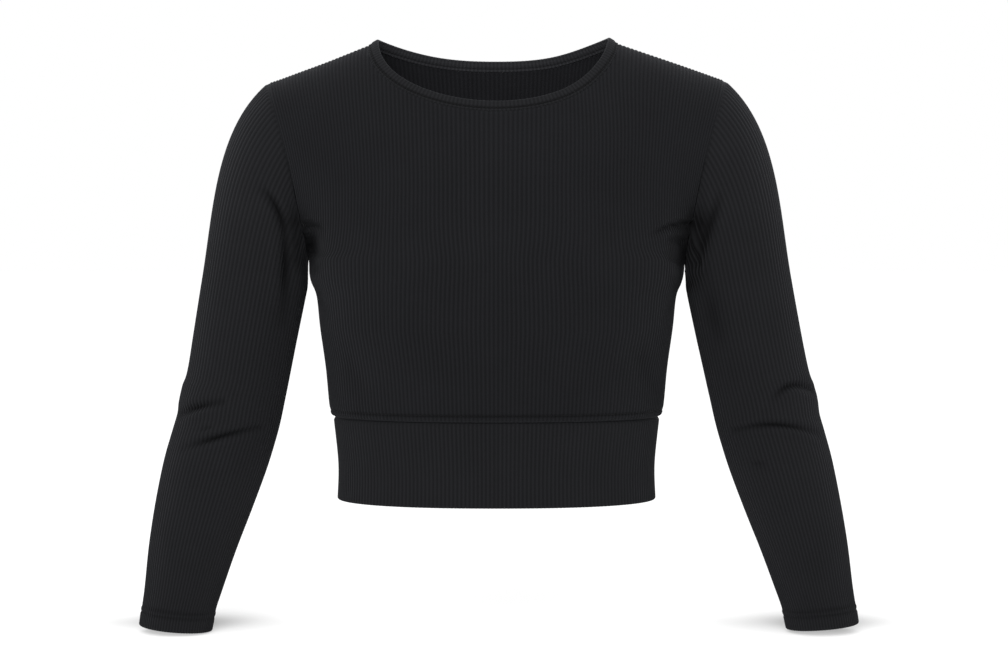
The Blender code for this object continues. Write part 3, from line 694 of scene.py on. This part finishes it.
def sleeve_cloth(hand, folds, panels):
    """The form of a sleeve, from its armhole to its wrist."""
    edge = -1 if hand > 0 else 0
    ribs = np.arange(SLEEVE_RIBS * ACROSS_RIB) / ACROSS_RIB
    turns = ribs / SLEEVE_RIBS
    levels = split_levels(SLEEVE_SPLIT, END_LEVELS)
    front, back = (panels[side].grid[:, edge] for side in ("front", "back"))
    armhole = round_armhole(front, back, turns, panels["front"].levels)
    cloth = Cloth(sleeve_form(hand, levels, turns, armhole), levels, ribs, wraps=True)
    cloth.lie(SLEEVE_LIES)
    cloth.square()
    free = smooth(cloth.distance("bottom") / FOLD_FREE)
    for facing in (-1, 1):
        cloth.fold(folds, facing, free)
    cloth.square()
    return cloth


def sleeve(name, cloth, material):
    """One sleeve, turned in at its armhole seam, with a thicker stitched hem at the wrist."""
    from_seam, from_wrist = cloth.distance("bottom"), cloth.distance("top")
    turn = edge_turn(from_seam)
    hem = smooth((SLEEVE_HEM + HEM_STEP - from_wrist) / HEM_STEP)
    line = CUFF_LINE * groove(from_wrist, *CUFF_STITCHES)
    rib = rib_wave(cloth.ribs) * near_underarm(cloth.grid) * (1 - turn) * (1 - RIB_STITCHED * line)
    draw_in = rounded(from_wrist, DOUBLE_WALL / 2)
    lift = RIB_HEIGHT * rib + HEM_RISE * hem - SEAM_DEPTH * turn - GROOVE_DEPTH * line - draw_in
    wall = WALL + (DOUBLE_WALL - WALL) * hem - INSIDE_DIP * rib - draw_in
    return sew(name, cloth, lift, wall, from_wrist, line, material)


def band_cloth():
    """The form of the waistband, from the centre front round by the left side and the back."""
    quarter = np.linspace(0, 1, BAND_RIBS * ACROSS_RIB // 4 + 1)
    levels = split_levels(BAND_SPLIT, BAND_END_LEVELS)
    rings = []
    for level in levels:
        row = table_row(BAND, level)
        edge = (row["half_width"], SIDE_SEAM_Y, row["z"])
        front, back = (
            half_section(edge, (row[side], row["z"]), row["fullness"], quarter) for side in ("front", "back")
        )
        rings.append(np.concatenate([front, back[-2::-1], back[1:] * MIRROR, front[-2:0:-1] * MIRROR]))
    return Cloth(np.array(rings), levels, np.arange(BAND_RIBS * ACROSS_RIB) / ACROSS_RIB, wraps=True)


def waistband(cloth, material):
    """The doubled waistband, turned in at its seam and folded round at the hem."""
    from_hem = cloth.distance("top")
    turn = edge_turn(cloth.distance("bottom"))
    rib = rib_wave(cloth.ribs) * (1 - turn)
    draw_in = rounded(from_hem, DOUBLE_WALL / 2)
    lift = RIB_HEIGHT * rib - WAIST_DEPTH * turn - draw_in
    wall = DOUBLE_WALL - INSIDE_DIP * rib - draw_in
    return sew("waistband", cloth, lift, wall, from_hem, 0.0, material)


def resampled(loop, count):
    """A closed path at equally spaced points."""
    closed = np.concatenate([loop, loop[:1]])
    length = path_length(closed)
    places = np.arange(count) / count * length[-1]
    return np.column_stack([np.interp(places, length, c) for c in closed.T])


def softened(loop, reach):
    """A closed path with its corners eased over a number of points."""
    most = int(EASE_REACH * reach)
    offsets = np.arange(-most, most + 1)
    weights = np.exp(-((offsets / reach) ** 2))
    return sum(w * np.roll(loop, k, axis=0) for k, w in zip(offsets, weights)) / weights.sum()


def neck_frame(edge):
    """At each point of the neck edge, the way that the binding rises from it, and the way that it faces."""
    along = unit(np.roll(edge, -1, axis=0) - np.roll(edge, 1, axis=0))
    x, y = edge[:, 0], edge[:, 1]
    lean = np.where(y < 0, BINDING_LEAN["front"] * y / y.min(), -BINDING_LEAN["back"] * y / y.max())
    rise = np.column_stack([-BINDING_LEAN_IN * x / NECK_HALF, lean, np.ones(len(edge))])
    rise = unit(rise - along * np.sum(rise * along, axis=1, keepdims=True))
    facing = np.cross(along, rise)
    return rise, facing * np.sign(np.sum(facing * edge))


def neck_loop(panels):
    """The neck opening's edge: the front's from right to left, then the back's from left to right."""
    front, back = (
        cloth.grid[-1, np.abs(cloth.ribs) <= NECK_FRACTION * PANEL_RIBS + NEAR] for cloth in panels.values()
    )
    return np.concatenate([front, back[-2:0:-1]])


def binding_cloth(panels):
    """The form of the strip round the neck, at its outer face."""
    ribs = np.arange(BINDING_RIBS * ACROSS_RIB) / ACROSS_RIB
    edge = softened(resampled(neck_loop(panels), len(ribs)), ACROSS_RIB)
    rise, facing = neck_frame(edge)
    rows = []
    for up in BINDING_ROWS:
        row = edge + rise * up + facing * BINDING_PROUD
        rows.append(softened(row, max(ACROSS_RIB * BINDING_EASE * up / BINDING_WIDTH, 1)))
    grid = np.array(rows)
    cloth = Cloth(grid, np.arange(len(grid)), ribs, wraps=True)
    cloth.normals = np.broadcast_to(facing, grid.shape)
    return cloth


def neck_binding(cloth, material):
    """The folded strip round the neck: full along both edges, with a sunk line of stitching."""
    up = np.array(BINDING_ROWS)[:, None]
    draw_in = rounded(np.minimum(up, BINDING_WIDTH - up), DOUBLE_WALL / 2)
    line = groove(up, BINDING_STITCH)
    rib = rib_wave(cloth.ribs)
    raised = BINDING_RIB_HEIGHT * rib * (1 - RIB_STITCHED * line)
    lift = BINDING_SWELL + raised - GROOVE_DEPTH * line - draw_in
    behind = groove(up, BINDING_STITCH, BINDING_ROLL)
    wall = DOUBLE_WALL - BINDING_RIB_HEIGHT * (1 - rib) - GROOVE_DEPTH * behind - draw_in
    run = np.broadcast_to(up, lift.shape)
    return sew("neck_binding", cloth, lift, wall, run, line, material)


def join_seams(panels, sleeves, binding):
    """Gives pieces that meet at a seam wall directions that agree, and a hair's breadth between them."""
    front, back = panels["front"], panels["back"]
    low = front.levels <= UNDERARM_ROW
    shift = {"front": [0, -SEAM_GAP / 2, 0], "back": [0, SEAM_GAP / 2, 0]}
    on_shoulder = np.abs(front.ribs) > NECK_FRACTION * PANEL_RIBS - NEAR
    neck, facing = binding.grid[0], binding.normals[0]
    tops = {}
    for side, cloth in panels.items():
        other = panels["back" if side == "front" else "front"]
        top = joined(cloth.normals[-1], other.normals[-1])
        for c in np.flatnonzero(~on_shoulder):
            top[c] = facing[np.argmin(np.linalg.norm(neck - cloth.grid[-1, c], axis=1))]
        tops[side] = top
    for hand, edge, end in ((-1, "right", 0), (1, "left", -1)):
        arm = sleeves[hand]
        turns = arm.ribs / SLEEVE_RIBS
        sides = [cloth.normals[:, end] for cloth in (front, back)]
        body = round_armhole(*sides, turns, front.levels)
        meets = joined(body, arm.normals[0])
        arm_meets = joined(arm.normals[0], body)
        at = (front.levels - UNDERARM_ROW) / (2 * (PANEL_ROWS - UNDERARM_ROW))
        wrapped = np.concatenate([turns, [1]])
        for cloth, own, other, place in ((front, *sides, at), (back, *sides[::-1], 1 - at)):
            by_sleeve = [np.interp(place, wrapped, np.append(v, v[0])) for v in meets.T]
            way = np.where(low[:, None], joined(own, other), np.transpose(by_sleeve))
            side = "front" if cloth is front else "back"
            move = np.where(low[:, None], shift[side], [-hand * SEAM_GAP / 2, 0, 0])
            cloth.settle(edge, way, move)
        arm.settle("bottom", arm_meets, np.broadcast_to([hand * SEAM_GAP / 2, 0, 0], arm_meets.shape))
    for side, cloth in panels.items():
        cloth.settle("top", tops[side], np.where(on_shoulder[:, None], shift[side], 0))


def stitches(name, path, ways, height, material):
    """A closed line of stitches: short threads that dip into the cloth at both ends."""
    closed, ways = (np.concatenate([loop, loop[:1]]) for loop in (path, ways))
    length = path_length(closed)
    number = int(length[-1] / STITCH_PITCH)
    t = np.linspace(0, 1, THREAD_SIDES)
    places = (np.arange(number)[:, None] + STITCH_SHARE * t) / number * length[-1]
    centre = np.stack([np.interp(places, length, c) for c in closed.T], axis=-1)
    out = unit(np.stack([np.interp(places, length, c) for c in ways.T], axis=-1))
    centre = centre + out * (height + THREAD_DIP * (np.sin(np.pi * t) - 1))[:, None]
    side = unit(np.cross(np.gradient(centre, axis=1), out))
    angle = 2 * np.pi * np.arange(THREAD_SIDES) / THREAD_SIDES
    ring = side[:, :, None] * np.cos(angle)[:, None] + out[:, :, None] * np.sin(angle)[:, None]
    points = (centre[:, :, None] + ring * THREAD_RADIUS).reshape(-1, 3)
    faces = []
    for s in range(number):
        first = s * THREAD_SIDES**2
        last = first + THREAD_SIDES * (THREAD_SIDES - 1)
        faces += grid_faces(first, THREAD_SIDES, THREAD_SIDES, True)[:, ::-1].tolist()
        faces += [list(range(first, first + THREAD_SIDES)), list(range(last, last + THREAD_SIDES))[::-1]]
    return build_mesh(name, points, faces, {}, material)


class Number:
    """A value in a material's nodes, which works with Python's operators."""

    def __init__(self, shader, socket):
        self.shader = shader
        self.socket = socket

    def maths(self, operation, *others):
        return self.shader.node("ShaderNodeMath", "Value", *[self, *others], operation=operation)

    def __add__(self, other):
        return self.maths("ADD", other)

    def __sub__(self, other):
        return self.maths("SUBTRACT", other)

    def __mul__(self, other):
        return self.maths("MULTIPLY", other)

    def __truediv__(self, other):
        return self.maths("DIVIDE", other)

    __radd__, __rmul__ = __add__, __mul__

    def __rsub__(self, other):
        return self * -1 + other

    def sin(self):
        return self.maths("SINE")

    def cos(self):
        return self.maths("COSINE")

    def fract(self):
        return self.maths("FRACT")

    def abs(self):
        return self.maths("ABSOLUTE")

    def between(self, low, high):
        return self.maths("MAXIMUM", low).maths("MINIMUM", high)


class Shader:
    """A material and its nodes."""

    def __init__(self, name, **constants):
        self.material = bpy.data.materials.new(name)
        self.material.use_nodes = True
        self.tree = self.material.node_tree
        self.surface = self.tree.nodes["Principled BSDF"]
        for socket, value in constants.items():
            self.surface.inputs[socket.replace("_", " ")].default_value = value

    def put(self, socket, value):
        if isinstance(value, Number):
            self.tree.links.new(value.socket, socket)
        else:
            socket.default_value = value

    def node(self, kind, output, *values, inputs=None, **settings):
        """Adds a node with its inputs in order or by name, and returns one of its outputs."""
        node = self.tree.nodes.new(kind)
        for name, value in settings.items():
            setattr(node, name, value)
        for socket, value in zip(node.inputs, values):
            self.put(socket, value)
        for name, value in (inputs or {}).items():
            self.put(node.inputs[name], value)
        return Number(self, node.outputs[output])

    def blend(self, factor, first, second):
        """A colour between two colours."""
        node = self.tree.nodes.new("ShaderNodeMix")
        node.data_type = "RGBA"
        for place, value in zip(MIX_INPUTS, (factor, first, second)):
            self.put(node.inputs[place], value)
        return Number(self, node.outputs[MIX_RESULT])

    def first_two(self, vector):
        """The first two values of a vector."""
        split = self.tree.nodes.new("ShaderNodeSeparateXYZ")
        self.put(split.inputs[0], vector)
        return Number(self, split.outputs[0]), Number(self, split.outputs[1])

    def layer(self, name):
        """The two values of one of a mesh's layers."""
        return self.first_two(self.node("ShaderNodeUVMap", "UV", uv_map=name))

    def feed(self, name, value):
        self.put(self.surface.inputs[name], value)


def shade(colour, factor):
    """A colour made lighter or darker."""
    return (*(c * factor for c in colour), 1.0)


def knit(name, colour, inside_painted_light):
    """Rib knit: rows of looped stitches along each rib, painted shade in the valleys, and a soft nap."""
    shader = Shader(
        name + "_looks",
        Sheen_Weight=0.04,
        Sheen_Roughness=0.5,
        Sheen_Tint=(0.9, 0.92, 1.0, 1.0),
        Specular_IOR_Level=0.04,
    )
    rib, run = shader.layer("cloth")
    # painted light on the inside faces, and painted shade in folds, tucks and stitching
    inside, folded = shader.layer("shelter")
    crest = (rib * (2 * np.pi)).cos() * 0.5 + 0.5
    slant = (rib * 2).fract() - 0.5
    loops = ((run / STITCH_ROW + slant.abs() * STITCH_SLANT) * (2 * np.pi)).sin() * 0.5 + 0.5
    where = shader.node("ShaderNodeTexCoord", "Object")

    def noise(scale):
        settings = {"Vector": where, "Scale": scale, "Detail": 3.0, "Roughness": 0.6}
        return shader.node("ShaderNodeTexNoise", "Fac", inputs=settings)

    patches, fluff = noise(GRAINS["patches"]), noise(GRAINS["fluff"])
    # crest paints the valleys between the real raised ribs darker, as painted shade
    light = crest * LIGHT["crest"] + loops * LIGHT["loops"] + patches * LIGHT["patches"]
    light = (light + fluff * LIGHT["fluff"] + LIGHT_START).between(0, 1)
    low, high = KNIT_SHADES
    outer = shader.blend(light, shade(colour, low), shade(colour, high))
    # painted light: the inside faces are coloured lighter than the outside
    inner = shader.blend(light, shade(colour, low * inside_painted_light), shade(colour, high * inside_painted_light))
    both = shader.blend(inside, outer, inner)
    # painted shade: the colour darkens deep in folds, tucks and lines of stitching
    shader.feed("Base Color", shader.blend(folded, both, shade(colour, FOLD_PAINTED_SHADE)))
    roughness = ROUGHNESS["knit"] + patches * ROUGHNESS["patches"] + fluff * ROUGHNESS["fluff"]
    shader.feed("Roughness", roughness)
    height = loops * (LOOP_RISE[0] + crest * LOOP_RISE[1]) + fluff * FLUFF_RISE
    bump = {"Height": height, "Strength": 0.35, "Distance": 0.00025}
    shader.feed("Normal", shader.node("ShaderNodeBump", "Normal", inputs=bump))
    return shader.material


def thread_material():
    """Twisted sewing thread."""
    shader = Shader("thread_looks", Sheen_Weight=0.03, Sheen_Roughness=0.4, Specular_IOR_Level=0.08)
    where = shader.node("ShaderNodeTexCoord", "Object")
    settings = {"Vector": where, "Scale": GRAINS["twist"], "Detail": 2.0}
    twist = shader.node("ShaderNodeTexNoise", "Fac", inputs=settings)
    low, high = THREAD_SHADES
    shader.feed("Base Color", shader.blend(twist, shade(THREAD_BLACK, low), shade(THREAD_BLACK, high)))
    shader.feed("Roughness", ROUGHNESS["thread"] + twist * ROUGHNESS["twist"])
    return shader.material


def floor_material():
    """Plain white floor, lit from below as a studio's light table is, with a painted shadow behind each cuff.
    """
    shader = Shader("floor_looks", Specular_IOR_Level=0.0, Roughness=0.9, Emission_Strength=FLOOR_GLOW)
    where = shader.node("ShaderNodeTexCoord", "Object")
    place = shader.first_two(where)
    # painted shadow: the floor's glow is lowered in a soft spot behind each cuff
    painted_shadows = 0
    for spot in PAINTED_SHADOW_SPOTS:
        x_off, y_off = ((p - at * MM) / (reach * MM) for p, at, reach in zip(place, spot, PAINTED_SHADOW_REACH))
        painted_shadows = (x_off * x_off * -1 - y_off * y_off).maths("EXPONENT") + painted_shadows
    glow = (painted_shadows * -PAINTED_SHADOW_DEPTH + 1).between(0, 1)
    shader.feed("Emission Color", shader.blend(glow, shade(WHITE, 0), shade(WHITE, 1)))
    grain = shader.node("ShaderNodeTexNoise", "Fac", inputs={"Vector": where, "Scale": GRAINS["floor"]})
    low, high = FLOOR_SHADES
    shader.feed("Base Color", shader.blend(grain, shade(PALE_FLOOR, low), shade(PALE_FLOOR, high)))
    return shader.material


def aim(thing, place, target):
    """Puts a camera or a lamp at a place, looking at a target, both in millimetres."""
    place, target = Vector(place) * MM, Vector(target) * MM
    thing.location = place
    thing.rotation_euler = (target - place).to_track_quat("-Z", "Y").to_euler()
    bpy.context.collection.objects.link(thing)


def softbox(name, place, target, size, watts):
    """A soft rectangular lamp, in millimetres, aimed at a point."""
    data = bpy.data.lights.new(name, "AREA")
    data.shape = "RECTANGLE"
    data.size, data.size_y = (s * MM for s in size)
    data.energy = watts
    aim(bpy.data.objects.new(name, data), place, target)


def studio():
    """Floor, white surroundings, a broad lamp above the front and the camera."""
    mesh = bpy.data.meshes.new("floor")
    corners = [(x * FLOOR_REACH, y * FLOOR_REACH, FLOOR_Z) for x, y in ((-1, -1), (1, -1), (1, 1), (-1, 1))]
    mesh.from_pydata((np.array(corners) * MM).tolist(), [], [(0, 1, 2, 3)])
    mesh.materials.append(floor_material())
    ground = bpy.data.objects.new("floor", mesh)
    bpy.context.collection.objects.link(ground)

    world = bpy.data.worlds.new("white_surroundings")
    world.use_nodes = True
    background = world.node_tree.nodes["Background"]
    background.inputs["Color"].default_value = shade(WHITE, 1)
    background.inputs["Strength"].default_value = 1.0
    bpy.context.scene.world = world
    bpy.context.scene.view_settings.view_transform = "Standard"
    softbox("front_lamp", *FRONT_LAMP)

    data = bpy.data.cameras.new("camera")
    data.lens = LENS
    data.sensor_width = SENSOR
    data.clip_end = FARTHEST_VIEW * MM
    camera = bpy.data.objects.new("camera", data)
    aim(camera, CAMERA, TARGET)
    bpy.context.scene.camera = camera


def main():
    body_knit = knit("body_knit", BODY_KNIT, INSIDE_PAINTED_LIGHT["cloth"])
    # painted light: sleeves, band and binding take the body's knit, coloured lighter for the light they catch
    sleeve_knit = knit("sleeve_knit", SLEEVE_KNIT_PAINTED_LIGHTER, INSIDE_PAINTED_LIGHT["cloth"])
    band_knit = knit("band_knit", BAND_KNIT_PAINTED_LIGHTER, INSIDE_PAINTED_LIGHT["cloth"])
    binding_knit = knit("binding_knit", BINDING_KNIT_PAINTED_LIGHTER, INSIDE_PAINTED_LIGHT["binding"])
    thread = thread_material()
    panels = {side: panel_cloth(side) for side in ("front", "back")}
    folds = {-1: RIGHT_SLEEVE_FOLDS, 1: LEFT_SLEEVE_FOLDS}
    sleeves = {hand: sleeve_cloth(hand, folds[hand], panels) for hand in folds}
    band = band_cloth()
    binding = binding_cloth(panels)
    for cloth in (*panels.values(), *sleeves.values()):
        cloth.tuck(TUCKS)
        cloth.square()
    join_seams(panels, sleeves, binding)

    rows = [cloth.row_at("bottom", WAIST_STITCH) for cloth in panels.values()]
    path, ways = (np.concatenate([a, b[::-1]]) for a, b in zip(*rows))
    waist_thread = stitches("waist_stitches", path, ways, STITCH_LIFT, thread)
    front = panel("front", panels["front"], body_knit)
    back = panel("back", panels["back"], body_knit)
    at_seam = binding.row_at("bottom", BINDING_STITCH - BINDING_ROWS[0])
    neck_thread = stitches("neck_stitches", *at_seam, STITCH_LIFT, thread)
    strip = neck_binding(binding, binding_knit)
    hem = waistband(band, band_knit)
    for hand, name in ((-1, "right"), (1, "left")):
        cloth = sleeves[hand]
        arm = sleeve(name + "_sleeve", cloth, sleeve_knit)
        for i, at in enumerate(CUFF_STITCHES):
            line = cloth.row_at("top", at)
            stitches(f"{name}_cuff_stitches_{i + 1}", *line, STITCH_LIFT, thread)
    studio()


main()
